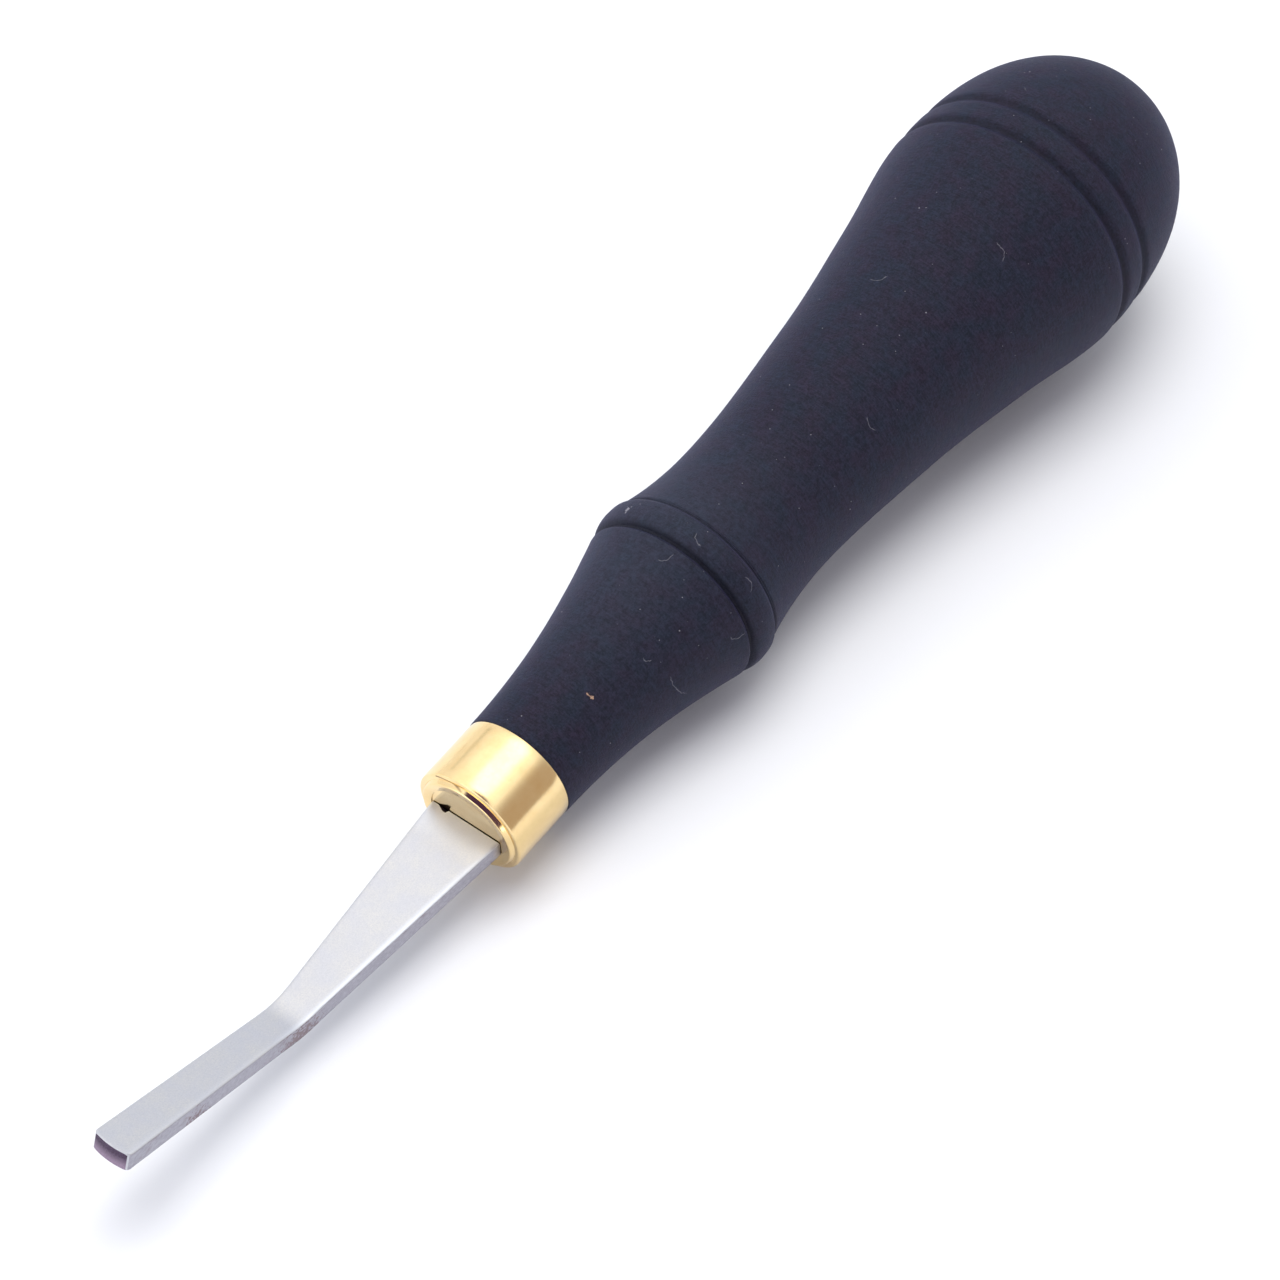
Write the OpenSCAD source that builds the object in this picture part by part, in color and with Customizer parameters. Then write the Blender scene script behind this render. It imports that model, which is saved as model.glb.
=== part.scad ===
// Bench hand tool: a bent flat steel blade in a brass ferrule on a turned black handle.
// Every piece is drawn along the tool's own axis: +X runs from the ferrule's seat on the
// handle towards the butt, the blade points towards -X, and its flat faces look up.
// The module lying() then lays the whole tool down on its bead and its bulb.

/* [Handle] */
// Length of the handle from the ferrule's seat to the butt
handle_len = 103.8; // [100:0.2:110]
// Radius of the handle where it meets the ferrule
nose_r = 6.05; // [6:0.05:6.4]
// Radius that the front flare reaches at the bead
flare_r = 9.95; // [9:0.05:10.1]
// How late the flare opens: 1 is a plain cone, 3 is a trumpet
flare_power = 1.9; // [1.4:0.1:2.6]
// Place of the bead's crest along the handle
bead_x = 26; // [25.6:0.1:26.4]
// Radius of the bead's crest
bead_r = 10.25; // [10.1:0.05:10.6]
// Radius of the round section of the bead
bead_round = 4.2; // [3.6:0.1:6]
// Place of the narrowest point behind the bead
cove_x = 37.5; // [36:0.5:40]
// Radius of the narrowest point behind the bead
cove_r = 8.7; // [8:0.05:9.2]
// Place of the thickest point of the bulb
bulb_x = 81.8; // [80:0.2:82]
// Radius of the thickest point of the bulb
bulb_r = 14.65; // [14:0.05:15]
// Fullness of the butt: 2 is an ellipse, 3 is squarer
butt_power = 2.5; // [2:0.1:3]

/* [Grooves] */
// Place of the groove in front of the bead
bead_groove_x = 24.2; // [24:0.1:24.6]
// Place of the finer groove behind the bead
waist_groove_x = 28.1; // [27.8:0.1:28.4]
// Place of the groove at the front of the bulb's band
bulb_groove_x = 82.1; // [82.1:0.1:83]
// Place of the groove at the back of the bulb's band
butt_groove_x = 85.9; // [85:0.1:87]

/* [Ferrule] */
// Outer diameter of the ferrule
ferrule_d = 12; // [11:0.1:12]
// Length of the ferrule
ferrule_len = 7.6; // [6.5:0.1:9]
// Wall thickness of the ferrule's sleeve
ferrule_wall = 0.8; // [0.6:0.05:1]
// Thickness of the ferrule's closed end
ferrule_end = 1.3; // [1:0.1:2]
// Diameter of the flat face inside the ferrule's rounded rim
face_d = 8.5; // [8:0.1:9]
// Depth of the flat face below the crest of the rim
face_sink = 0.1; // [0.05:0.05:0.3]
// Length of the rim's rounding, measured along the ferrule
rim_len = 0.9; // [0.6:0.1:1.5]

/* [Blade] */
// Thickness of the steel strip
blade_t = 2; // [1.8:0.1:2.2]
// Width of the blade at its shoulders, against the ferrule
root_w = 8; // [7.6:0.1:8]
// Width of the blade where it bends
bend_w = 3.55; // [3:0.05:4]
// Width of the blade at its tip
tip_w = 4.1; // [3.6:0.1:5]
// Distance along the top face from the shoulders to the bend
bend_at = 24.9; // [20:0.1:30]
// Distance along the top face from the bend to the tip
tip_len = 23.7; // [18:0.1:30]
// Angle by which the tip part turns upwards
bend_angle = 21.9; // [10:0.1:35]
// Radius of the bend on the top face
bend_r = 8; // [4:0.5:12]
// How far the middle of the tip's end stands out beyond its corners
tip_crown = 0.3; // [0.1:0.05:0.6]
// Height of the straight part's top face above the handle's axis
top_rise = 0.25; // [0:0.05:0.8]
// Sideways distance of the blade's middle from the handle's axis, at the shoulders
side_set = 0.15; // [0:0.05:0.3]
// Further sideways distance that the blade's middle gains by the tip
tip_set = 0.3; // [0:0.05:0.6]

/* [Tang] */
// Width of the tang just behind the shoulders
tang_w = 4.3; // [4:0.1:5]
// Width of the tang at its hidden end
tang_end_w = 3; // [2:0.1:4]
// Length of the tang behind the shoulders
tang_len = 36; // [20:1:38]
// Width of the notch filed beside the tang, in one shoulder
notch_w = 1.3; // [0.6:0.1:1.3]
// Depth of that notch
notch_depth = 0.2; // [0.1:0.05:0.5]

/* [Hidden] */
$fn = 96;

ferrule_r = ferrule_d / 2;
face_r = face_d / 2;
tenon_r = ferrule_r - ferrule_wall;
tenon_len = ferrule_len - ferrule_end;
shoulder_gap = 0.05;    // from the rim's crest to the blade's shoulders
tang_step = 0.1;        // the tang is this much thinner than the strip, on each face
slot_play = 0.05;       // room round the tang in the ferrule's slot
slot_w = tang_w + 2 * slot_play;
slot_t = blade_t - 2 * tang_step + 2 * slot_play;
swell_a = [55, 10.17, 0.11];    // a point of the swell: place, radius, slope
swell_b = [70, 12.6, 0.18];
waist_start = [waist_groove_x, 9.8, -0.25];
cove = [cove_x, cove_r, 0];
bulb = [bulb_x, bulb_r, 0];

// Each groove is a V: place, half width, depth
bead_groove = [bead_groove_x, 0.45, 0.5];
waist_groove = [waist_groove_x, 0.3, 0.25];
bulb_groove = [bulb_groove_x, 0.5, 0.4];
butt_groove = [butt_groove_x, 0.4, 0.3];

// ---- the handle's outline: radius against place along the axis ----

function flare(x) = nose_r + (flare_r - nose_r) * pow(x / bead_groove_x, flare_power);

function bead(x) = bead_r - bead_round + sqrt(pow(bead_round, 2) - pow(x - bead_x, 2));

// A smooth cubic from station p to station q, each [place, radius, slope]
function cubic(x, p, q) =
    let (h = q[0] - p[0], t = (x - p[0]) / h)
    (2 * pow(t, 3) - 3 * pow(t, 2) + 1) * p[1]
    + (pow(t, 3) - 2 * pow(t, 2) + t) * h * p[2]
    + (3 * pow(t, 2) - 2 * pow(t, 3)) * q[1]
    + (pow(t, 3) - pow(t, 2)) * h * q[2];

function swell(x) =
    x < cove_x ? cubic(x, waist_start, cove)
    : x < swell_a[0] ? cubic(x, cove, swell_a)
    : x < swell_b[0] ? cubic(x, swell_a, swell_b)
    : cubic(x, swell_b, bulb);

function butt(x) =
    bulb_r * sqrt(1 - pow(max(0, x - bulb_x) / (handle_len - bulb_x), butt_power));

function body_r(x) =
    x < bead_groove_x ? flare(x)
    : x < waist_groove_x ? bead(x)
    : x < bulb_x ? swell(x)
    : butt(x);

// Outline points [radius, place] in n steps between two places
function run(from, to, n) =
    [for (i = [0:n]) let (x = from + (to - from) * i / n) [body_r(x), x]];

function groove_start(g) = g[0] - g[1];
function groove_end(g) = g[0] + g[1];
function groove_floor(g) = [[body_r(g[0]) - g[2], g[0]]];

// The rounded butt in equal turns of angle, so that its end closes smoothly
butt_turn = asin(pow((groove_end(butt_groove) - bulb_x) / (handle_len - bulb_x), butt_power / 2));
butt_steps = 22;
butt_end = [
    for (i = [0:butt_steps])
    let (a = butt_turn + (90 - butt_turn) * i / butt_steps)
    [bulb_r * cos(a), bulb_x + (handle_len - bulb_x) * pow(sin(a), 2 / butt_power)]
];

bead_outline = run(groove_end(bead_groove), groove_start(waist_groove), 8);
bulb_outline = concat(
    run(70, groove_start(bulb_groove), 14),
    groove_floor(bulb_groove),
    run(groove_end(bulb_groove), groove_start(butt_groove), 4),
    groove_floor(butt_groove),
    butt_end
);
handle_outline = concat(
    run(0, groove_start(bead_groove), 16),
    groove_floor(bead_groove),
    bead_outline,
    groove_floor(waist_groove),
    run(groove_end(waist_groove), 69, 32),
    bulb_outline
);

// ---- how the tool lies: the bead and the bulb both touch the bench ----

lie_slope = min([
    for (p = bead_outline)
    max([for (q = bulb_outline) (q[0] - p[0]) / (q[1] - p[1])])
]);
lie_angle = atan(lie_slope);
lift = max([for (p = handle_outline) p[0] * cos(lie_angle) - p[1] * sin(lie_angle)]);

// ---- the blade's side view: [distance towards the tip, height over the top face] ----

bend_start = bend_at - bend_r * tan(bend_angle / 2);
bend_steps = 12;

function on_bend(a, r) = [bend_start + r * sin(a), bend_r - r * cos(a)];

tip_top = [bend_at, 0] + tip_len * [cos(bend_angle), sin(bend_angle)];
tip_bottom = tip_top + blade_t * [sin(bend_angle), -cos(bend_angle)];
blade_side = concat(
    [[-tang_len, -tang_step], [0, -tang_step], [0, 0]],
    [for (i = [0:bend_steps]) on_bend(bend_angle * i / bend_steps, bend_r)],
    [tip_top, tip_bottom],
    [for (i = [bend_steps:-1:0]) on_bend(bend_angle * i / bend_steps, bend_r + blade_t)],
    [[0, -blade_t], [0, tang_step - blade_t], [-tang_len, tang_step - blade_t]]
);

// The blade's top view: [distance towards the tip, place across the blade]. The tang is on
// the handle's axis, and so beside the blade's middle. One shoulder is notched at the tang.
past_tip = tip_bottom[0] + 1;
tang_left = tang_w / 2 - side_set;
tang_right = -tang_w / 2 - side_set;

// The middle of the blade, across, at a distance from the shoulders
function middle(u) = tip_set * u / tip_top[0];

blade_plan = [
    [-tang_len, tang_end_w / 2 - side_set],
    [notch_depth / 2, tang_left],
    [notch_depth, tang_left + notch_w / 3],
    [0, tang_left + notch_w],
    [0, root_w / 2],
    [bend_at, middle(bend_at) + bend_w / 2],
    [past_tip, middle(past_tip) + tip_w / 2],
    [past_tip, middle(past_tip) - tip_w / 2],
    [bend_at, middle(bend_at) - bend_w / 2],
    [0, -root_w / 2],
    [0, tang_right],
    [-tang_len, -tang_end_w / 2 - side_set]
];

// The crowned end of the tip, in the tip's own plane and measured from the bend
crown_half = tip_w / 2 + 0.5;
crown_r = (pow(tip_w / 2, 2) + pow(tip_crown, 2)) / (2 * tip_crown);
crown_steps = 12;
clear_of_blade = 8;
blade_end = concat(
    [[-90, -clear_of_blade], [tip_len - 2, -clear_of_blade]],
    [
        for (i = [0:crown_steps])
        let (y = crown_half * (2 * i / crown_steps - 1))
        [tip_len - crown_r + sqrt(pow(crown_r, 2) - pow(y, 2)), tip_set + y]
    ],
    [[tip_len - 2, clear_of_blade], [-90, clear_of_blade]]
);

// ---- the ferrule's rim: a cubic curve from the flat face's edge to the sleeve ----

rim_rise = 14;          // angle at which the curve leaves the face
rim_pull = [0.9, 0.55]; // reach of the curve's two end tangents
rim_a = [face_r, -ferrule_len];
rim_b = rim_a + rim_pull[0] * [cos(rim_rise), sin(rim_rise)];
rim_d = [ferrule_r, rim_len - ferrule_len];
rim_c = rim_d - [0, rim_pull[1]];
rim_steps = 16;
rim_outline = [
    for (i = [0:rim_steps])
    let (t = i / rim_steps, u = 1 - t)
    pow(u, 3) * rim_a + 3 * pow(u, 2) * t * rim_b + 3 * u * pow(t, 2) * rim_c + pow(t, 3) * rim_d
];

// ---- the frame: the middle of the tool's footprint, on the bench ----

// Where a point [x, z] of the tool's own frame comes to lie along the bench
function along_bench(p) = p[0] * cos(lie_angle) - p[1] * sin(lie_angle);

// A point of the blade's side view, in the tool's own frame
function in_tool(p) = [-ferrule_len - shoulder_gap - p[0], top_rise + p[1]];

front_x = min(along_bench(in_tool(tip_top)), along_bench(in_tool(tip_bottom)));
back_x = max([for (p = handle_outline) along_bench([p[1], -p[0]])]);

module lying() {
    translate([-(front_x + back_x) / 2, 0, lift])
        rotate([0, -lie_angle, 0])
            children();
}

// Turns an outline of [radius, place] points round the tool's axis
module turned(outline) {
    rotate([0, 90, 0])
        rotate_extrude()
            polygon(outline);
}

module blade_shape() {
    intersection() {
        rotate([90, 0, 0])
            linear_extrude(height = 2 * clear_of_blade, center = true)
                polygon(blade_side);
        linear_extrude(height = 4 * clear_of_blade, center = true)
            polygon(blade_plan);
        translate([bend_at, 0, 0])
            rotate([0, -bend_angle, 0])
                linear_extrude(height = 120, center = true)
                    polygon(blade_end);
    }
}

// Puts the blade at the ferrule: pointing to -X, and set sideways
module at_ferrule() {
    translate([-ferrule_len - shoulder_gap, side_set, top_rise])
        mirror([1, 0, 0])
            children();
}

// Turned hardwood, stained black: tenon, flare, bead, swell and bulb in one piece
module handle() {
    color([0.09, 0.09, 0.1])
        lying()
            difference() {
                turned(concat(
                    [[0, -tenon_len], [tenon_r, -tenon_len], [tenon_r, 0]],
                    handle_outline
                ));
                at_ferrule()
                    blade_shape();
            }
}

// Brass cap over the tenon: a flat face sunk in a rounded rim, and a slot for the tang
module ferrule() {
    face_x = -ferrule_len + face_sink;
    color([0.85, 0.66, 0.32])
        lying()
            difference() {
                turned(concat(
                    [[tenon_r, 0], [tenon_r, -tenon_len], [0, -tenon_len]],
                    [[0, face_x], [face_r, face_x]],
                    rim_outline,
                    [[ferrule_r, 0]]
                ));
                translate([-ferrule_len, 0, top_rise - blade_t / 2])
                    cube([3 * ferrule_end, slot_w, slot_t], center = true);
            }
}

// Flat steel strip, tapered, bent up near its middle, with a narrower hidden tang
module blade() {
    color([0.75, 0.76, 0.78])
        lying()
            at_ferrule()
                blade_shape();
}

handle();
ferrule();
blade();
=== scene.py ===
import math

import bpy
from mathutils import Matrix, Vector, noise


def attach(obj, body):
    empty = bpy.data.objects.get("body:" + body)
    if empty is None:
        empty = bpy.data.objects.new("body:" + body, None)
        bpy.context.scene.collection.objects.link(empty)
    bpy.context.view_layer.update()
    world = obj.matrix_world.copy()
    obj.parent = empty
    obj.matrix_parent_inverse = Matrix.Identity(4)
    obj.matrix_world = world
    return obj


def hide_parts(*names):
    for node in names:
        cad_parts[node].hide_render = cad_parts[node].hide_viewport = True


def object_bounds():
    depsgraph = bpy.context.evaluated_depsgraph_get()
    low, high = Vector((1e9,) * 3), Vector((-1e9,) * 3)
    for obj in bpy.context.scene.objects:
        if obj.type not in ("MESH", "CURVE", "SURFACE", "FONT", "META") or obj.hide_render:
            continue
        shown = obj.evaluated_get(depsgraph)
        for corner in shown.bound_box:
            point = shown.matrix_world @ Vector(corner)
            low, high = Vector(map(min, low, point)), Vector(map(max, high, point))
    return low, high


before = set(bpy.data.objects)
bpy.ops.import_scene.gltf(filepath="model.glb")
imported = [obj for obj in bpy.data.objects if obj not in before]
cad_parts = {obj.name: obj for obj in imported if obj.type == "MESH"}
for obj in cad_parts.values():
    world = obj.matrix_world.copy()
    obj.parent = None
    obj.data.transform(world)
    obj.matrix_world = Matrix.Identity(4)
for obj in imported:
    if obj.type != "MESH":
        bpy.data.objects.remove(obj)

cad_low, cad_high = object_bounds()
MM = 0.001

# ---------------------------------------------------------------- where the tool lies
# The tool's own frame has +X along its axis from the ferrule's seat to the butt.

LIE_ANGLE = math.radians(4.55545)
MIDDLE = 23.9125
LIFT = 8.16262
LYING = Matrix.Translation((-MIDDLE, 0, LIFT)) @ Matrix.Rotation(-LIE_ANGLE, 4, "Y")


def placed(point):
    """A point of the tool's own frame in mm, as a place in the row frame in metres."""
    return (LYING @ Vector(point)) * MM


def smooth(t):
    t = min(1.0, max(0.0, t))
    return t * t * (3 - 2 * t)


def lerp(a, b, t):
    return a + (b - a) * t


# ---------------------------------------------------------------- mesh building


def build(name, points, faces, sharp):
    """A smooth-shaded mesh piece from points in the tool's own frame, with hard edges
    where it turns by more than the sharp angle."""
    mesh = bpy.data.meshes.new(name)
    mesh.from_pydata([placed(p) for p in points], [], faces)
    mesh.validate()
    mesh.update()
    for polygon in mesh.polygons:
        polygon.use_smooth = True
    mesh.set_sharp_from_angle(angle=math.radians(sharp))
    piece = bpy.data.objects.new(name, mesh)
    bpy.context.scene.collection.objects.link(piece)
    return piece


def skin(rings, loop=False):
    """Faces between rings of equal length. With loop, the last ring joins the first."""
    count = len(rings[0])
    points = [p for ring in rings for p in ring]
    faces = []
    last = len(rings) if loop else len(rings) - 1
    for i in range(last):
        a, b = i * count, (i + 1) % len(rings) * count
        for j in range(count):
            k = (j + 1) % count
            faces.append((a + j, a + k, b + k, b + j))
    return points, faces


def strips(start, count, straight, flip):
    """Faces that close a ring which is the same above and below, with strips across it.
    The straight part of each side, that many points from its middle, is one face."""
    middle = count // 2
    faces = [(i, i + 1, count - i - 1, count - i) for i in range(straight, middle - straight)]
    faces.append((*range(straight + 1), *range(count - straight, count)))
    faces.append(tuple(range(middle - straight, middle + straight + 1)))
    faces = [tuple(start + i for i in face) for face in faces]
    return [tuple(reversed(face)) for face in faces] if flip else faces


def circle(x, radius, count):
    ring = []
    for j in range(count):
        a = 2 * math.pi * j / count
        ring.append((x, radius * math.cos(a), radius * math.sin(a)))
    return ring


def slot_ring(x, half_width, half_height, centre_z, count):
    """A rectangle as a ring of points, each in the direction of the circle's point."""
    ring = []
    for j in range(count):
        a = 2 * math.pi * j / count
        c, s = math.cos(a), math.sin(a)
        reach = min(half_width / max(abs(c), 1e-6), half_height / max(abs(s), 1e-6))
        ring.append((x, reach * c, centre_z + reach * s))
    return ring


# ---------------------------------------------------------------- sizes, in mm

HANDLE_LEN = 103.8
NOSE_R, FLARE_R, FLARE_POWER = 6.05, 9.95, 1.9
BEAD_START, BEAD_STOP = 24.2, 27.65
BEAD_X, BEAD_R, BEAD_ROUND = 26.0, 10.25, 4.2
BULB_X, BULB_R, BUTT_POWER = 81.8, 14.65, 2.5
# the outline from the bead to the bulb: place, radius, slope
OUTLINE = (
    (BEAD_STOP, 9.8, -0.25),
    (37.5, 8.7, 0.0),
    (55.0, 10.17, 0.11),
    (70.0, 12.6, 0.18),
    (BULB_X, BULB_R, 0.0),
)
# the grooves as the paint has softened them: place, half width, depth
GROOVES = (
    (24.02, 0.56, 0.62),
    (27.45, 0.4, 0.27),
    (81.75, 0.85, 0.42),
    (85.4, 0.85, 0.36),
)
# how far a groove's bell shape spreads, against its half width
GROOVE_SPREAD = 0.62
HANDLE_SIDES, FERRULE_SIDES = 180, 256

FERRULE_R, FERRULE_LEN, FERRULE_END, FERRULE_WALL = 6.0, 7.6, 1.3, 0.8
FACE_R, FACE_SINK, RIM_LEN = 4.25, 0.1, 0.9
TENON_R = FERRULE_R - FERRULE_WALL
TENON_X = FERRULE_END - FERRULE_LEN
# the rim's lip round the flat face, as (x, radius)
RIM_LIP = (
    (-7.6, 4.25),
    (-7.62, 4.35),
    (-7.65, 4.5),
    (-7.68, 4.65),
    (-7.71, 4.8),
    (-7.73, 4.93),
    (-7.735, 5.05),
    (-7.73, 5.12),
)
# how the lip turns over, in steps, into a steep bevel, and the crease at its foot
LIP_TURNS, LIP_STEP = (25, 37, 49, 59), 0.035
BEVEL_ANGLE, BEVEL_LEN, BEVEL_STEPS = 66, 0.4, 4
CREASE = (0.008, 0.03)
# the rim's rounded outer edge behind the crease, as (x, radius)
RIM_BACK = (
    (-7.265, 5.6),
    (-7.25, 5.7),
    (-7.22, 5.8),
    (-7.18, 5.88),
    (-7.13, 5.945),
    (-6.99, 5.97),
    (-6.85, 5.985),
    (RIM_LEN - FERRULE_LEN, FERRULE_R),
)

BLADE_T, TOP_RISE, SIDE_SET, TIP_SET = 2.0, 0.25, 0.15, 0.3
SHOULDER_X = -FERRULE_LEN - 0.05
ROOT_HALF, BEND_HALF, TIP_HALF = 4.0, 1.775, 2.05
BEND_AT, TIP_LEN, BEND_R, BEND_ANGLE = 24.9, 23.7, 8.0, math.radians(21.9)
# how far on each side of the bend the two tapers are eased into each other
TAPER_EASE = 3.2
TIP_CROWN = 0.3
# the rounding of the long edges, of the shoulders and of the tip's end and corners
EDGE, ROOT_EDGE, TIP_EDGE, TIP_CORNER = 0.12, 0.03, 0.16, 0.4
# how much wider than deep the rounding of the long edges is
EDGE_SPREAD = 2.4
# points of a cross-section: across the flat, up half a side, round a corner
SECTION_ACROSS, SECTION_SIDE, SECTION_TURNS = 44, 3, 4
# the notch in one shoulder, and how much of it has its full depth
NOTCH_W, NOTCH_DEPTH, NOTCH_FLAT, NOTCH_OUT = 1.05, 0.34, 0.35, 0.15
TANG_HALF, TANG_END_HALF, TANG_LEN, TANG_STEP = 2.15, 1.5, 36.0, 0.1
# the shoulders' edges show this much nearer the ferrule than the shoulder plane
ROOT_START = -0.09
TANG_Z = TOP_RISE - BLADE_T / 2
TANG_HALF_T = BLADE_T / 2 - TANG_STEP
SOCKET_END = SHOULDER_X + TANG_LEN
SLOT_PLAY = 0.05
# the undercut where the tang meets the shoulders, which shows as a dark line
RELIEF, RELIEF_LEN = 0.35, 0.8

# ---------------------------------------------------------------- the handle


def cubic(x, p, q):
    """The radius at x between two places of the outline, with their slopes."""
    h = q[0] - p[0]
    t = (x - p[0]) / h
    return (
        (2 * t**3 - 3 * t**2 + 1) * p[1]
        + (t**3 - 2 * t**2 + t) * h * p[2]
        + (3 * t**2 - 2 * t**3) * q[1]
        + (t**3 - t**2) * h * q[2]
    )


def body_radius(x):
    """The turned outline without its grooves."""
    if x < BEAD_START:
        return NOSE_R + (FLARE_R - NOSE_R) * (x / BEAD_START) ** FLARE_POWER
    if x < BEAD_STOP:
        return BEAD_R - BEAD_ROUND + math.sqrt(BEAD_ROUND**2 - (x - BEAD_X) ** 2)
    for start, end in zip(OUTLINE, OUTLINE[1:]):
        if x < end[0]:
            return cubic(x, start, end)
    t = min(1.0, (x - BULB_X) / (HANDLE_LEN - BULB_X))
    return BULB_R * math.sqrt(max(0.0, 1 - t**BUTT_POWER))


def groove_cut(x):
    """How deep the softened grooves cut in at x."""
    cut = 0.0
    for place, half, depth in GROOVES:
        cut += depth * math.exp(-(((x - place) / (GROOVE_SPREAD * half)) ** 2))
    return cut


def handle_stations():
    """Places along the handle, close together where a groove turns the surface."""
    first, last, butt_steps = 0.25, 90, 40
    fine, middling, coarse = 0.07, 0.2, 0.75
    places = []
    x = first
    while x < last:
        places.append(x)
        near = min(abs(x - groove[0]) for groove in GROOVES)
        x += fine if near < 0.9 else middling if near < 1.6 else coarse
    start = math.asin(((places[-1] - BULB_X) / (HANDLE_LEN - BULB_X)) ** (BUTT_POWER / 2))
    for i in range(1, butt_steps):
        a = lerp(start, math.pi / 2, i / butt_steps)
        places.append(BULB_X + (HANDLE_LEN - BULB_X) * math.sin(a) ** (2 / BUTT_POWER))
    return places


def uneven(x, angle, radius):
    """The slight unevenness that sanding and paint leave, in mm."""
    p = Vector((x, radius * math.cos(angle), radius * math.sin(angle)))
    return 0.035 * noise.noise(p * 0.12) + 0.012 * noise.noise(p * 0.5)


def make_handle():
    count = HANDLE_SIDES
    chamfer = 0.15
    rings = [
        slot_ring(SOCKET_END, TANG_END_HALF, TANG_HALF_T, TANG_Z, count),
        slot_ring(TENON_X, TANG_HALF, TANG_HALF_T, TANG_Z, count),
    ]
    for x, radius in (
        (TENON_X, TENON_R - chamfer),
        (TENON_X + chamfer, TENON_R),
        (0.0, TENON_R),
        (0.0, NOSE_R - 0.2),
        (0.03, NOSE_R - 0.1),
        (0.1, NOSE_R - 0.03),
    ):
        rings.append(circle(x, radius, count))
    for x in handle_stations():
        radius = body_radius(x) - groove_cut(x)
        ring = []
        for j in range(count):
            a = 2 * math.pi * j / count
            r = radius + uneven(x, a, radius) * smooth(radius / 3)
            ring.append((x, r * math.cos(a), r * math.sin(a)))
        rings.append(ring)
    points, faces = skin(rings)
    butt, last_ring = len(points), (len(rings) - 1) * count
    points.append((HANDLE_LEN, 0, 0))
    faces += [(last_ring + j, last_ring + (j + 1) % count, butt) for j in range(count)]
    socket = len(points)
    points.append((SOCKET_END, 0, TANG_Z))
    faces += [((j + 1) % count, j, socket) for j in range(count)]
    return build("turned_handle", points, faces, 50)


# ---------------------------------------------------------------- the ferrule


def rim_outline():
    """The rim from the flat face's edge to the sleeve, as (x, radius)."""
    outline = list(RIM_LIP)
    x, r = outline[-1]
    steps = [(turn, LIP_STEP) for turn in LIP_TURNS]
    steps += [(BEVEL_ANGLE, BEVEL_LEN / BEVEL_STEPS)] * BEVEL_STEPS
    for turn, step in steps:
        x += step * math.sin(math.radians(turn))
        r += step * math.cos(math.radians(turn))
        outline.append((x, r))
    outline.append((x + CREASE[0], r + CREASE[1]))
    return outline + list(RIM_BACK)


def make_ferrule():
    count = FERRULE_SIDES
    edge = 0.06
    face_x = FACE_SINK - FERRULE_LEN
    slot = (TANG_HALF + SLOT_PLAY, TANG_HALF_T + SLOT_PLAY, TANG_Z)
    outline = [(0.0, TENON_R), (0.0, FERRULE_R - edge)]
    outline += [(-edge * 0.3, FERRULE_R - edge * 0.3), (-edge, FERRULE_R)]
    outline += [(-x, FERRULE_R) for x in range(1, 7)]
    outline += reversed(rim_outline())
    outline += [(face_x - 0.02, FACE_R - 0.005), (face_x, FACE_R - 0.03), (face_x, 4.0)]
    rings = [circle(x, radius, count) for x, radius in outline]
    rings.append(slot_ring(face_x, *slot, count))
    rings.append(slot_ring(TENON_X, *slot, count))
    rings.append(circle(TENON_X, TENON_R, count))
    points, faces = skin(rings, loop=True)
    faces = [tuple(reversed(face)) for face in faces]
    return build("brass_ferrule", points, faces, 24)


# ---------------------------------------------------------------- the blade


def blade_half(u):
    """Half the blade's width at u, the two tapers eased into each other at the bend."""
    root_slope = (BEND_HALF - ROOT_HALF) / BEND_AT
    tip_slope = (TIP_HALF - BEND_HALF) / TIP_LEN
    d = u - BEND_AT
    if d < -TAPER_EASE:
        return BEND_HALF + root_slope * d
    if d > TAPER_EASE:
        return BEND_HALF + tip_slope * d
    slope = lerp(root_slope, tip_slope, (d + TAPER_EASE) / (2 * TAPER_EASE))
    start = BEND_HALF - root_slope * TAPER_EASE
    return start + (root_slope + slope) / 2 * (d + TAPER_EASE)


def bent(u, h):
    """Where distance u along the top face and height h over it come to, in side view."""
    start = BEND_AT - BEND_R * math.tan(BEND_ANGLE / 2)
    a = min(BEND_ANGLE, max(0.0, (u - start) / BEND_R))
    beyond = max(0.0, u - start - BEND_R * BEND_ANGLE)
    x = min(u, start) + (BEND_R - h) * math.sin(a) + beyond * math.cos(a)
    z = BEND_R - (BEND_R - h) * math.cos(a) + beyond * math.sin(a)
    return x, z


BLADE_LEN = BEND_AT + TIP_LEN - 2 * BEND_R * math.tan(BEND_ANGLE / 2) + BEND_R * BEND_ANGLE


def section(u, half, middle, top, bottom, shift=None, share=1.0):
    """One cross-section of the blade: across the top, round the corners, back below.
    Each point moves along the blade by a share of shift(y)."""
    mid_h = (top + bottom) / 2
    soft = EDGE * EDGE_SPREAD
    upper = [
        (-half, lerp(mid_h, top - EDGE, i / SECTION_SIDE)) for i in range(SECTION_SIDE)
    ]
    for i in range(SECTION_TURNS + 1):
        a = math.pi / 2 * i / SECTION_TURNS
        y = -half + soft * (1 - math.cos(a))
        upper.append((y, top - EDGE * (1 - math.sin(a))))
    corner = list(upper)
    for i in range(1, SECTION_ACROSS):
        upper.append((lerp(soft - half, half - soft, i / SECTION_ACROSS), top))
    upper += [(-y, h) for y, h in reversed(corner)]
    lower = [(y, 2 * mid_h - h) for y, h in reversed(upper[1:-1])]
    ring = []
    for y, h in upper + lower:
        along = u + (share * shift(y + middle) if shift else 0.0)
        x, z = bent(along, h)
        ring.append((SHOULDER_X - x, SIDE_SET + middle + y, TOP_RISE + z))
    return ring


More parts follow.
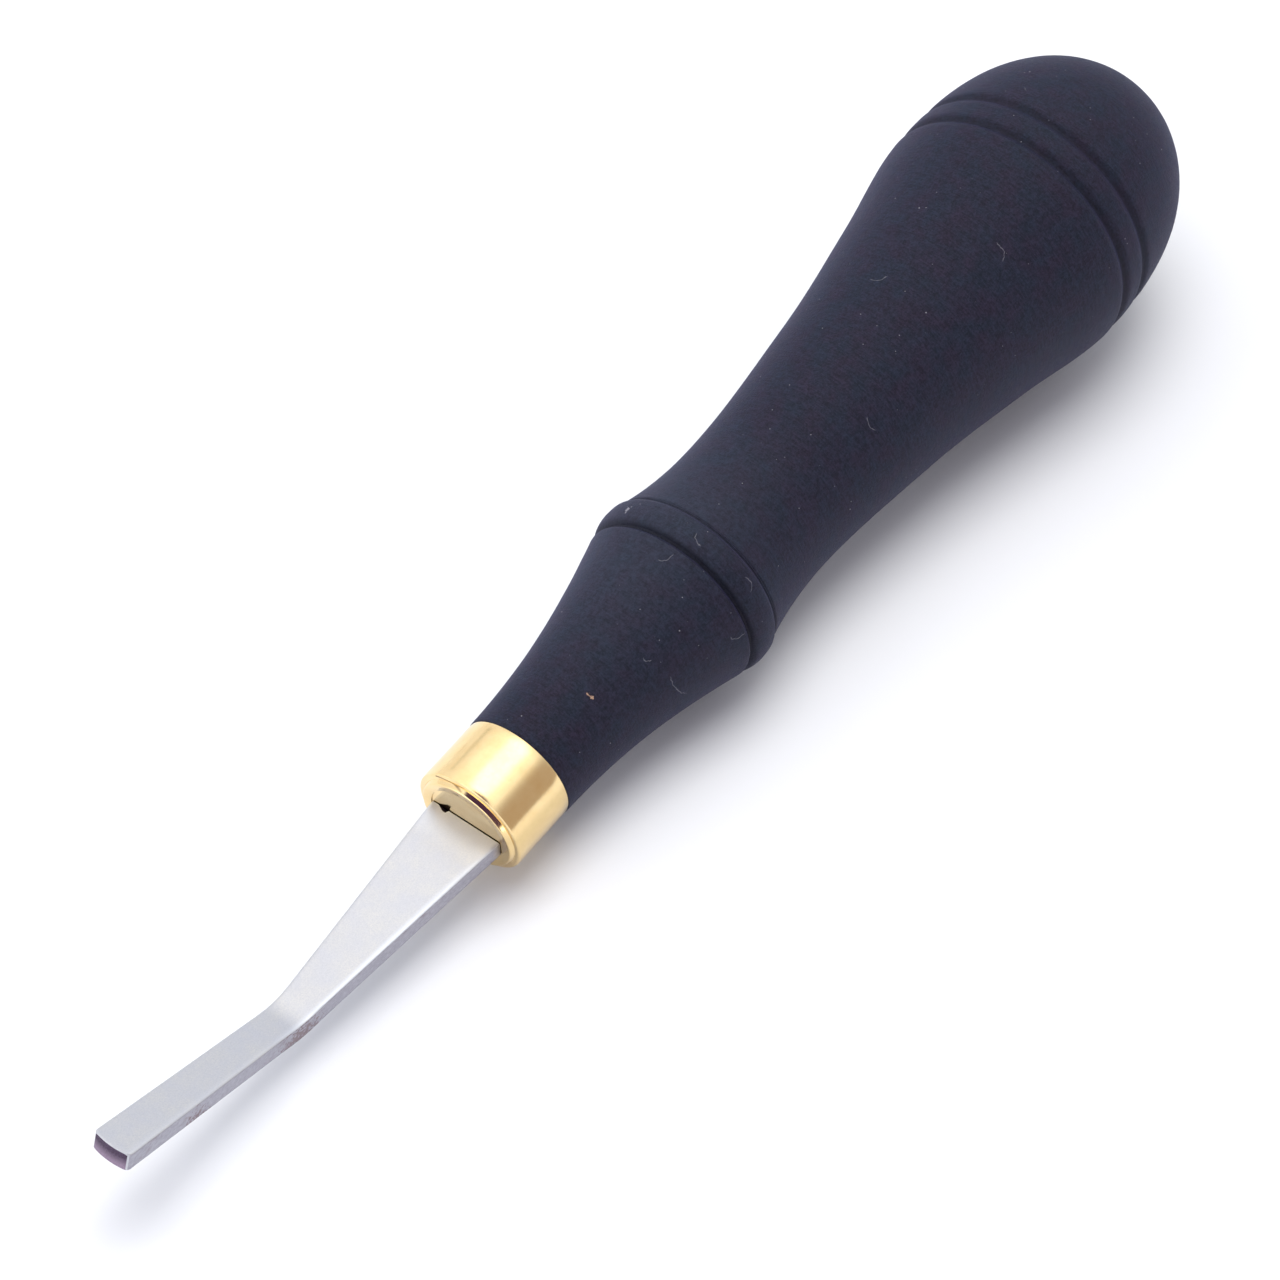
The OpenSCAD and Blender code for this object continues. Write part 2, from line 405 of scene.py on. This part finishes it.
def notch(y):
    """How far the shoulder is cut back beside the tang, at y across the blade."""
    t = (y - (TANG_HALF - SIDE_SET + NOTCH_OUT)) / NOTCH_W
    if t < 0 or t > 1:
        return 0.0
    return NOTCH_DEPTH * (1.0 if t < NOTCH_FLAT else (1 - t) / (1 - NOTCH_FLAT))


def crown(y):
    """How far the slightly crowned end falls back, at y across the tip."""
    return -TIP_CROWN * ((y - TIP_SET) / TIP_HALF) ** 2


def tang_sections():
    """The tang from its hidden end to the undercut at the shoulders."""
    flat = (-TANG_STEP, TANG_STEP - BLADE_T)
    cut = (flat[0] - RELIEF, flat[1] + RELIEF)
    by_relief = lerp(TANG_HALF, TANG_END_HALF, RELIEF_LEN / TANG_LEN)
    halfway = lerp(TANG_END_HALF, TANG_HALF, 0.5)
    return [
        section(-TANG_LEN, TANG_END_HALF, -SIDE_SET, *flat),
        section(-TANG_LEN / 2, halfway, -SIDE_SET, *flat),
        section(-RELIEF_LEN, by_relief, -SIDE_SET, *flat),
        section(-RELIEF_LEN, TANG_HALF - RELIEF, -SIDE_SET, *cut),
        section(ROOT_START, TANG_HALF - RELIEF, -SIDE_SET, *cut),
    ]


def shoulder_sections():
    """The shoulders' edges, rounded by a little, with the notch in one of them."""
    steps = 4
    sections = []
    for i in range(steps + 1):
        a = math.pi / 2 * i / steps
        inset = ROOT_EDGE * (1 - math.sin(a))
        u = ROOT_START + ROOT_EDGE * (1 - math.cos(a))
        sections.append(section(u, ROOT_HALF - inset, 0.0, -inset, inset - BLADE_T, notch))
    return sections


def tip_sections():
    """The square tip: rounded corners, a crowned end and softened edges."""
    steps = 12
    tip_start = BLADE_LEN - TIP_CORNER
    sections = []
    for i in range(steps + 1):
        a = math.pi / 2 * i / steps
        f = TIP_CORNER * math.sin(a)
        inset = TIP_CORNER * (1 - math.cos(a))
        g = max(0.0, f - (TIP_CORNER - TIP_EDGE)) / TIP_EDGE
        thin = TIP_EDGE * (1 - math.sqrt(max(0.0, 1 - g * g)))
        half = blade_half(tip_start) - inset
        sections.append(section(tip_start + f, half, TIP_SET, -thin, thin - BLADE_T, crown))
    return sections


def make_blade():
    notch_reach = 0.7
    stations = [0.1, 0.25, 0.45, 0.7, 1, *range(2, 21, 2)]
    stations += [21 + 0.35 * i for i in range(24)]
    stations += range(30, 45, 2)
    rings = tang_sections() + shoulder_sections()
    for u in stations:
        middle = TIP_SET * u / BLADE_LEN
        fade = smooth(1 - u / notch_reach)
        rings.append(section(u, blade_half(u), middle, 0.0, -BLADE_T, notch, fade))
    rings += tip_sections()
    points, faces = skin(rings)
    count = len(rings[0])
    faces += strips(0, count, SECTION_SIDE + 1, True)
    faces += strips((len(rings) - 1) * count, count, SECTION_SIDE + 1, False)
    return build("steel_blade", points, faces, 40)


# ---------------------------------------------------------------- material helpers


class Nodes:
    """A short way to write a node tree. Scales and places are in mm, in the tool's frame."""

    def __init__(self, name):
        self.material = bpy.data.materials.new(name)
        self.material.use_nodes = True
        self.tree = self.material.node_tree
        self.tree.nodes.clear()
        out = self.add("ShaderNodeOutputMaterial")
        self.shader = self.add("ShaderNodeBsdfPrincipled")
        self.link(self.shader.outputs[0], out.inputs["Surface"])
        coordinates = self.add("ShaderNodeTexCoord")
        tool = self.add("ShaderNodeMapping", vector_type="TEXTURE")
        tool.inputs["Location"].default_value = placed((0, 0, 0))
        tool.inputs["Rotation"].default_value = (0, -LIE_ANGLE, 0)
        tool.inputs["Scale"].default_value = (MM, MM, MM)
        self.link(coordinates.outputs["Object"], tool.inputs["Vector"])
        self.place = tool.outputs["Vector"]

    def add(self, kind, **settings):
        node = self.tree.nodes.new(kind)
        for key, value in settings.items():
            setattr(node, key, value)
        return node

    def link(self, a, b):
        self.tree.links.new(a, b)

    def feed(self, socket, value):
        if isinstance(value, bpy.types.NodeSocket):
            self.link(value, socket)
        else:
            socket.default_value = value

    def set(self, socket, value):
        self.feed(self.shader.inputs[socket], value)

    def axes(self):
        node = self.add("ShaderNodeSeparateXYZ")
        self.link(self.place, node.inputs[0])
        return node.outputs["X"], node.outputs["Y"], node.outputs["Z"]

    def stretched(self, scale):
        node = self.add("ShaderNodeMapping")
        node.inputs["Scale"].default_value = scale
        self.link(self.place, node.inputs["Vector"])
        return node.outputs["Vector"]

    def distance(self, where):
        node = self.add("ShaderNodeVectorMath", operation="DISTANCE")
        self.link(self.place, node.inputs[0])
        node.inputs[1].default_value = where
        return node.outputs["Value"]

    def noise(self, scale, detail=2.0, rough=0.5, where=None):
        node = self.add("ShaderNodeTexNoise")
        node.inputs["Scale"].default_value = scale
        node.inputs["Detail"].default_value = detail
        node.inputs["Roughness"].default_value = rough
        self.link(where or self.place, node.inputs["Vector"])
        return node.outputs["Fac"]

    def span(self, value, low, high, to_low=0.0, to_high=1.0, kind="LINEAR"):
        node = self.add("ShaderNodeMapRange", interpolation_type=kind)
        self.feed(node.inputs["Value"], value)
        node.inputs["From Min"].default_value = low
        node.inputs["From Max"].default_value = high
        node.inputs["To Min"].default_value = to_low
        node.inputs["To Max"].default_value = to_high
        return node.outputs["Result"]

    def math(self, operation, a, b=0.0):
        node = self.add("ShaderNodeMath", operation=operation)
        self.feed(node.inputs[0], a)
        self.feed(node.inputs[1], b)
        return node.outputs[0]

    def chain(self, operation, first, *others):
        for other in others:
            first = self.math(operation, first, other)
        return first

    def off(self, value, place):
        """How far a value is from a place, to either side."""
        return self.math("ABSOLUTE", self.math("SUBTRACT", value, place))

    def mix(self, factor, a, b):
        node = self.add("ShaderNodeMix", data_type="RGBA")
        self.feed(node.inputs[0], factor)
        self.feed(node.inputs[6], a)
        self.feed(node.inputs[7], b)
        return node.outputs[2]

    def bump(self, height, strength, distance):
        node = self.add("ShaderNodeBump")
        node.inputs["Strength"].default_value = strength
        node.inputs["Distance"].default_value = distance * MM
        self.link(height, node.inputs["Height"])
        self.link(node.outputs["Normal"], self.shader.inputs["Normal"])


def rgb(red, green, blue):
    """A colour given as it looks on a screen, 0 to 255, as the shader's linear colour."""
    linear = []
    for c in (red, green, blue):
        c /= 255
        linear.append(c / 12.92 if c <= 0.04045 else ((c + 0.055) / 1.055) ** 2.4)
    return (*linear, 1.0)


def dust_specks(n, scale, inner, outer):
    """Sparse round specks, as a mask."""
    cells = n.add("ShaderNodeTexVoronoi")
    cells.inputs["Scale"].default_value = scale
    n.link(n.place, cells.inputs["Vector"])
    dots = n.span(cells.outputs["Distance"], inner, outer, 0.9, 0.0)
    return n.math("MULTIPLY", dots, n.span(n.noise(scale * 0.7, 1.0), 0.56, 0.6))


def hair(n, middle, bow, reach):
    """One hair lying on the surface, as a mask: an arc through a place on it."""
    wave = n.span(n.noise(1.3, 2.0), 0.3, 0.7, -0.12, 0.12)
    from_centre = n.math("ADD", n.distance(Vector(middle) + Vector(bow)), wave)
    line = n.span(n.off(from_centre, Vector(bow).length), 0.015, 0.05, 0.45, 0.0)
    near = n.span(n.distance(middle), reach * 0.8, reach, 1.0, 0.0)
    return n.math("MULTIPLY", line, near)


def fleck(n, where, size):
    """One small ragged mark at a place on the surface, as a mask."""
    ragged = n.span(n.noise(3.5, 2.0), 0.3, 0.7, -size, size)
    reach = n.math("ADD", n.distance(where), ragged)
    return n.span(reach, size * 0.6, size, 0.9, 0.0)


# ---------------------------------------------------------------- materials

# hairs lying on the paint: middle, the way and how far each one bows, half its length
HAIRS = (
    ((22.2, -1.0, 9.3), (0.6, 0.9, 0.0), 0.9),
    ((25.3, -2.1, 10.0), (0.9, -0.7, 0.0), 0.8),
    ((26.3, -7.8, 6.6), (-0.9, -0.2, 0.5), 0.9),
    ((22.5, -9.0, 2.9), (0.4, 0.4, 1.1), 1.0),
    ((15.0, -7.4, 1.8), (3.2, 0.9, 0.9), 1.9),
    ((14.0, -4.8, 5.7), (0.5, 0.6, -0.2), 0.45),
    ((61.0, 2.0, 11.0), (1.1, 0.8, 0.0), 1.0),
    ((71.0, -6.0, 11.2), (-1.3, 0.6, 0.4), 1.1),
    ((88.0, 3.0, 13.2), (0.8, -1.0, 0.2), 0.9),
    ((48.0, -6.1, 7.0), (1.2, 0.4, -0.5), 0.9),
)
# single marks: place and size
PALE_FLECK = ((25.5, 6.2, 8.1), 0.32)
WOOD_FLECK = ((7.55, -2.97, 5.72), 0.27)
BURNT_SPOTS = (((-33.4, -1.6, -1.3), 2.0), ((-47.0, -1.6, 3.5), 1.3))
# how far from the axis the painted dark reflection in the rim's crease runs, and how that
# grows in y
CREASE_R, CREASE_DRIFT = 5.21, 0.16


def painted_wood():
    """Black-stained turned hardwood, matt: mottled, faintly streaked round the turning."""
    n = Nodes("black_stained_wood")
    along, across, _ = n.axes()
    mottle = n.noise(1.9, 6.0, 0.75)
    fine = n.noise(4.6, 3.0, 0.8)
    streaks = n.noise(1.0, 5.0, 0.65, n.stretched((6.0, 0.7, 0.7)))
    hue = n.noise(0.42, 4.0, 0.6)
    shares = [n.math("MULTIPLY", mottle, 0.4), n.math("MULTIPLY", fine, 0.35)]
    tone = n.chain("ADD", *shares, n.math("MULTIPLY", streaks, 0.25))
    cool = n.mix(n.span(tone, 0.42, 0.58), rgb(13, 19, 30), rgb(34, 40, 56))
    warm = n.mix(n.span(tone, 0.42, 0.58), rgb(19, 15, 28), rgb(41, 37, 54))
    base = n.mix(n.span(hue, 0.36, 0.64), cool, warm)
    # handling has rubbed the flare and the bead a little paler; the fade across, paler on the
    # lit far side and darker on the near side, is painted light and shade
    worn_and_lit = n.chain(
        "MULTIPLY",
        n.span(along, 4.0, 20.0),
        n.span(along, 30.0, 42.0, 1.0, 0.0),
        n.span(across, -7.0, 0.0, 0.15, 1.0),
        n.span(mottle, 0.35, 0.65, 0.15, 0.36),
    )
    base = n.mix(worn_and_lit, base, rgb(56, 62, 75))
    # the grooves painted darker: painted shade
    groove_shade = [
        n.span(n.off(along, place), 0.1, half, 0.9 * depth, 0.0, "SMOOTHSTEP")
        for place, half, depth in GROOVES
    ]
    base = n.mix(n.chain("MAXIMUM", *groove_shade), base, rgb(8, 8, 14))
    marks = [dust_specks(n, 0.6, 0.025, 0.06), dust_specks(n, 1.1, 0.03, 0.08)]
    marks += [hair(n, *one) for one in HAIRS]
    marks.append(fleck(n, *PALE_FLECK))
    pale = n.math("MULTIPLY", n.chain("MAXIMUM", *marks), 0.8)
    base = n.mix(pale, base, rgb(140, 139, 148))
    base = n.mix(fleck(n, *WOOD_FLECK), base, rgb(168, 138, 116))
    n.set("Base Color", base)
    n.set("Roughness", n.span(mottle, 0.3, 0.7, 0.55, 0.72))
    n.set("Specular IOR Level", 0.2)
    n.set("Sheen Weight", 0.07)
    n.set("Sheen Roughness", 0.5)
    n.set("Sheen Tint", rgb(150, 148, 250))
    n.bump(tone, 0.6, 0.16)
    return n.material


def shade_behind_blade(n):
    """The patch of the ferrule's face that the blade's shoulders cover, painted near-black as
    shade, as a mask.
    """
    _, across, height = n.axes()
    underside = TOP_RISE - BLADE_T
    return n.chain(
        "MULTIPLY",
        n.span(n.off(across, SIDE_SET), ROOT_HALF - 0.1, ROOT_HALF + 0.02, 1.0, 0.0),
        n.span(height, TOP_RISE - 0.1, TOP_RISE - 0.06, 1.0, 0.0),
        n.span(height, underside - 0.1, underside + 0.1),
    )


def crease_painted_reflection(n):
    """A thin dark line in the far part of the rim's crease, a painted reflection, as a mask.
    """
    along, across, height = n.axes()
    radius = n.add("ShaderNodeVectorMath", operation="LENGTH")
    n.link(n.stretched((0.0, 1.0, 1.0)), radius.inputs[0])
    course = n.math("ADD", n.math("MULTIPLY", across, CREASE_DRIFT), CREASE_R)
    return n.chain(
        "MULTIPLY",
        n.span(n.off(radius.outputs["Value"], course), 0.02, 0.075, 0.9, 0.0),
        n.span(across, 0.1, 1.6, 0.3, 1.0),
        n.span(across, 3.6, 3.7, 1.0, 0.0),
        n.span(across, 0.0, 0.3),
        n.span(along, -6.9, -6.85, 1.0, 0.0),
        n.span(height, 0.0, 0.1),
    )


def near_side_shade(n):
    """Where the near side's lower half is painted duller and darker, as painted shade, as a
    mask.
    """
    _, across, height = n.axes()
    return n.chain(
        "MULTIPLY",
        n.span(height, 1.7, 2.9, 1.0, 0.0, "SMOOTHSTEP"),
        n.span(height, -1.5, 1.5, 0.6, 1.0),
        n.span(across, -4.0, 0.0, 1.0, 0.3),
        n.span(n.noise(1.4, 4.0, 0.7), 0.3, 0.6, 0.75, 1.0),
    )


def polished_brass():
    """Brass polished on the lathe, with hair-fine turning marks and small flaws."""
    n = Nodes("polished_brass")
    turning = n.noise(1.0, 4.0, 0.6, n.stretched((26.0, 0.5, 0.5)))
    stain = n.noise(0.55, 4.0, 0.6)
    pits = n.span(n.noise(5.5, 2.0, 0.6), 0.72, 0.78)
    base = n.mix(n.span(stain, 0.35, 0.7), rgb(250, 223, 168), rgb(245, 213, 154))
    # the near side's lower half painted darker: painted shade
    base = n.mix(near_side_shade(n), base, rgb(224, 196, 142))
    base = n.mix(n.math("MULTIPLY", pits, 0.35), base, rgb(120, 84, 46))
    # a painted dark reflection along the rim's crease
    base = n.mix(crease_painted_reflection(n), base, rgb(84, 50, 40))
    # the face behind the blade's shoulders painted near-black: painted shade
    base = n.mix(shade_behind_blade(n), base, rgb(30, 20, 22))
    rough = n.span(turning, 0.3, 0.7, 0.10, 0.16)
    n.set("Base Color", base)
    n.set("Metallic", 1.0)
    n.set("Roughness", n.math("ADD", rough, n.span(stain, 0.4, 0.7, 0.0, 0.05)))
    n.bump(turning, 0.12, 0.02)
    return n.material


def painted_highlight_edge(n):
    """Where the shank's long edge and its root are painted brighter, as a painted highlight,
    as a mask.
    """
    along, across, _ = n.axes()
    u = n.math("SUBTRACT", SHOULDER_X, along)
    half = n.span(u, 0.0, BEND_AT, ROOT_HALF, BEND_HALF)
    inwards = n.math("SUBTRACT", n.math("ADD", across, half), SIDE_SET)
    edge = n.chain(
        "MULTIPLY",
        n.span(inwards, 0.25, 0.85, 1.0, 0.0, "SMOOTHSTEP"),
        n.span(u, 2.0, 12.0, 0.35, 1.0),
        n.span(u, 22.0, 29.0, 0.85, 0.15),
    )
    return n.math("MAXIMUM", edge, n.span(u, 0.0, 3.6, 0.85, 0.0))


def satin_steel():
    """Ground and blasted steel: pale, even, slightly mottled."""
    n = Nodes("satin_steel")
    cloud = n.noise(0.45, 4.0, 0.6)
    grain = n.noise(7.0, 5.0, 0.75)
    base = n.mix(n.span(cloud, 0.35, 0.65), rgb(199, 200, 206), rgb(206, 205, 204))
    base = n.mix(n.span(grain, 0.35, 0.7), base, rgb(187, 189, 196))
    # the long edge and the root painted paler: a painted highlight
    n.set("Base Color", n.mix(painted_highlight_edge(n), base, rgb(220, 225, 234)))
    n.set("Metallic", 0.8)
    n.set("Roughness", n.span(grain, 0.3, 0.7, 0.38, 0.5))
    n.bump(grain, 0.3, 0.03)
    return n.material


def sheared_steel():
    """The strip's sides: darker, with a purple-brown bloom from heat."""
    n = Nodes("sheared_steel")
    cloud = n.noise(0.5, 4.0, 0.65)
    grain = n.noise(4.0, 4.0, 0.7, n.stretched((0.6, 1.0, 1.0)))
    base = n.mix(n.span(grain, 0.25, 0.75), rgb(180, 179, 188), rgb(155, 153, 164))
    burnt = [n.span(cloud, 0.56, 0.7, 0.0, 0.5)]
    burnt += [n.math("MULTIPLY", fleck(n, *spot), 0.75) for spot in BURNT_SPOTS]
    base = n.mix(n.chain("MAXIMUM", *burnt), base, rgb(124, 98, 100))
    n.set("Base Color", base)
    n.set("Metallic", 1.0)
    n.set("Roughness", n.span(grain, 0.3, 0.7, 0.38, 0.55))
    n.bump(grain, 0.35, 0.04)
    return n.material


def shaded_end_steel():
    """The tip's end, painted darker as shade, and paler towards its lower edge as painted
    light.
    """
    n = Nodes("shaded_end_steel")
    _, _, height = n.axes()
    tip_top = TOP_RISE + bent(BLADE_LEN, 0)[1]
    grain = n.noise(5.0, 4.0, 0.7)
    base = n.mix(n.span(grain, 0.3, 0.7), rgb(98, 84, 104), rgb(72, 58, 76))
    # paler towards the lower edge: painted light
    low = n.span(height, tip_top - 1.5, tip_top - 0.6, 0.85, 0.0)
    n.set("Base Color", n.mix(low, base, rgb(160, 142, 162)))
    n.set("Metallic", 1.0)
    n.set("Roughness", n.span(grain, 0.3, 0.7, 0.42, 0.6))
    n.bump(grain, 0.35, 0.04)
    return n.material


def notch_painted_shade():
    """Near-black painted shade for the corner between blade and ferrule."""
    n = Nodes("notch_painted_shade")
    n.set("Base Color", n.mix(n.noise(6.0, 3.0), rgb(16, 10, 20), rgb(36, 26, 34)))
    n.set("Roughness", 0.85)
    n.set("Specular IOR Level", 0.1)
    return n.material


# ---------------------------------------------------------------- the pieces

SIDES, TIP_END, NOTCH_SHADE = 1, 2, 3


def dress_blade(piece):
    """The blade's materials: satin flats, sheared sides, an end painted darker as shade, and
    painted shade at the root by the ferrule.
    """
    for material in (satin_steel(), sheared_steel(), shaded_end_steel(), notch_painted_shade()):
        piece.data.materials.append(material)
    shoulder = placed((SHOULDER_X, 0, 0))
    for polygon in piece.data.polygons:
        middle, facing = polygon.center, polygon.normal
        by_ferrule = abs(middle.x - shoulder.x) < 0.6 * MM
        within = abs(middle.y) < (ROOT_HALF - 0.5) * MM and abs(facing.z) < 0.95
        # the notch, the tang and the shoulders by the ferrule get the painted shade
        if by_ferrule and (within or facing.x > 0.95):
            polygon.material_index = NOTCH_SHADE
        elif abs(facing.y) > 0.8:
            polygon.material_index = SIDES
        elif facing.x < -0.8 and middle.x < cad_low[0] + MM:
            polygon.material_index = TIP_END


handle = make_handle()
handle.data.materials.append(painted_wood())
ferrule = make_ferrule()
ferrule.data.materials.append(polished_brass())
blade = make_blade()
dress_blade(blade)

for piece, node, slot in (
    (handle, "handle", "handle_wood"),
    (ferrule, "ferrule", "ferrule_brass"),
    (blade, "blade", "blade_steel"),
):
    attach(piece, "root")
    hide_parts(node)

# ---------------------------------------------------------------- the stage

FLOOR_HALF = 3.0
# the light tent, from its dim near side on: each patch's direction, the angles from it at
# which the patch begins to fade and is gone, and its colour
DIM_SIDE = (0.64, 0.64, 0.68)
TENT = (
    ((-0.1, 0.97, 0.22), 25, 125, (1.02, 1.03, 1.08)),  # the bright far side
    ((0.2, 0.1, 1), 24, 60, (1.36, 1.36, 1.38)),  # the top
    ((-0.93, 0.1, 0.36), 15, 50, (2.1, 2.14, 2.2)),  # a bright patch beyond the tip
    ((0.86, 0.36, 0.35), 8, 26, (0.62, 0.68, 0.79)),  # a dim one beyond the butt
    ((0.37, 0.04, 0.93), 5, 25, (2.7, 2.65, 2.5)),  # the lamp's patch on the top
    ((0.42, 0.86, 0.29), 2, 5, (0.62, 0.60, 0.60)),  # a seam in the far side
    ((0.35, -0.90, 0.25), 10, 38, (0.50, 0.42, 0.38)),  # the room through the opening
    ((-0.50, -0.80, 0.35), 14, 32, (0.10, 0.055, 0.13)),  # its dark part
    ((-0.506, -0.362, 0.783), 15, 28, (0.07, 0.035, 0.12)),  # the photographer
    ((-0.45, -0.18, 0.87), 27, 35, (0.07, 0.035, 0.12)),
    ((-0.28, -0.96, 0.08), 4, 8, (3.4, 3.2, 2.9)),  # a small lamp in the room
)
LAMP_PLACE, LAMP_SIZE, LAMP_ENERGY = (0.0, 0.02, 0.62), (0.56, 0.42), 2.2
CAMERA_PLACE = (-0.17994, -0.12524, 0.27951)
CAMERA_AIM = (-0.005781, -0.000540, 0.010)
CAMERA_LENS, CAMERA_ROLL = 101.25, 2.015


def make_floor():
    half = FLOOR_HALF
    mesh = bpy.data.meshes.new("floor")
    corners = [(-half, -half, 0), (half, -half, 0), (half, half, 0), (-half, half, 0)]
    mesh.from_pydata(corners, [], [(0, 1, 2, 3)])
    floor = bpy.data.objects.new("floor", mesh)
    bpy.context.scene.collection.objects.link(floor)
    n = Nodes("white_paper")
    n.set("Base Color", n.mix(n.noise(0.02, 2.0), rgb(228, 231, 235), rgb(231, 233, 237)))
    n.set("Roughness", 0.9)
    floor.data.materials.append(n.material)


def make_world():
    """The inside of a light tent: pale cloth all round, its opening towards the camera."""
    world = bpy.data.worlds.new("light_tent")
    bpy.context.scene.world = world
    world.use_nodes = True
    tree = world.node_tree
    tree.nodes.clear()
    out = tree.nodes.new("ShaderNodeOutputWorld")
    back = tree.nodes.new("ShaderNodeBackground")
    tree.links.new(back.outputs[0], out.inputs["Surface"])
    back.inputs["Strength"].default_value = 1.0
    direction = tree.nodes.new("ShaderNodeTexCoord").outputs["Generated"]

    def cone(axis, inner, outer):
        """1 within the inner angle of the axis, falling to 0 at the outer angle."""
        dot = tree.nodes.new("ShaderNodeVectorMath")
        dot.operation = "DOT_PRODUCT"
        tree.links.new(direction, dot.inputs[0])
        dot.inputs[1].default_value = Vector(axis).normalized()
        ramp = tree.nodes.new("ShaderNodeMapRange")
        ramp.interpolation_type = "SMOOTHSTEP"
        tree.links.new(dot.outputs["Value"], ramp.inputs["Value"])
        ramp.inputs["From Min"].default_value = math.cos(math.radians(outer))
        ramp.inputs["From Max"].default_value = math.cos(math.radians(inner))
        return ramp.outputs["Result"]

    under = None
    for axis, inner, outer, colour in TENT:
        mix = tree.nodes.new("ShaderNodeMix")
        mix.data_type = "RGBA"
        tree.links.new(cone(axis, inner, outer), mix.inputs[0])
        if under:
            tree.links.new(under, mix.inputs[6])
        else:
            mix.inputs[6].default_value = (*DIM_SIDE, 1)
        mix.inputs[7].default_value = (*colour, 1)
        under = mix.outputs[2]
    tree.links.new(under, back.inputs["Color"])


def make_lights():
    data = bpy.data.lights.new("tent_lamp", "AREA")
    data.shape = "ELLIPSE"
    data.size, data.size_y = LAMP_SIZE
    data.energy = LAMP_ENERGY
    data.color = (1.0, 0.99, 0.97)
    lamp = bpy.data.objects.new("tent_lamp", data)
    lamp.location = LAMP_PLACE
    lamp.visible_glossy = False
    bpy.context.scene.collection.objects.link(lamp)


def make_camera():
    data = bpy.data.cameras.new("camera")
    data.sensor_width = 36
    data.lens = CAMERA_LENS
    data.clip_start, data.clip_end = 0.01, 20
    camera = bpy.data.objects.new("camera", data)
    camera.location = CAMERA_PLACE
    aim = Vector(CAMERA_AIM) - camera.location
    level = aim.to_track_quat("-Z", "Y").to_matrix()
    roll = Matrix.Rotation(math.radians(CAMERA_ROLL), 3, "Z")
    camera.rotation_euler = (level @ roll).to_euler()
    bpy.context.scene.collection.objects.link(camera)
    bpy.context.scene.camera = camera


make_floor()
make_world()
make_lights()
make_camera()
bpy.context.scene.view_settings.view_transform = "Standard"
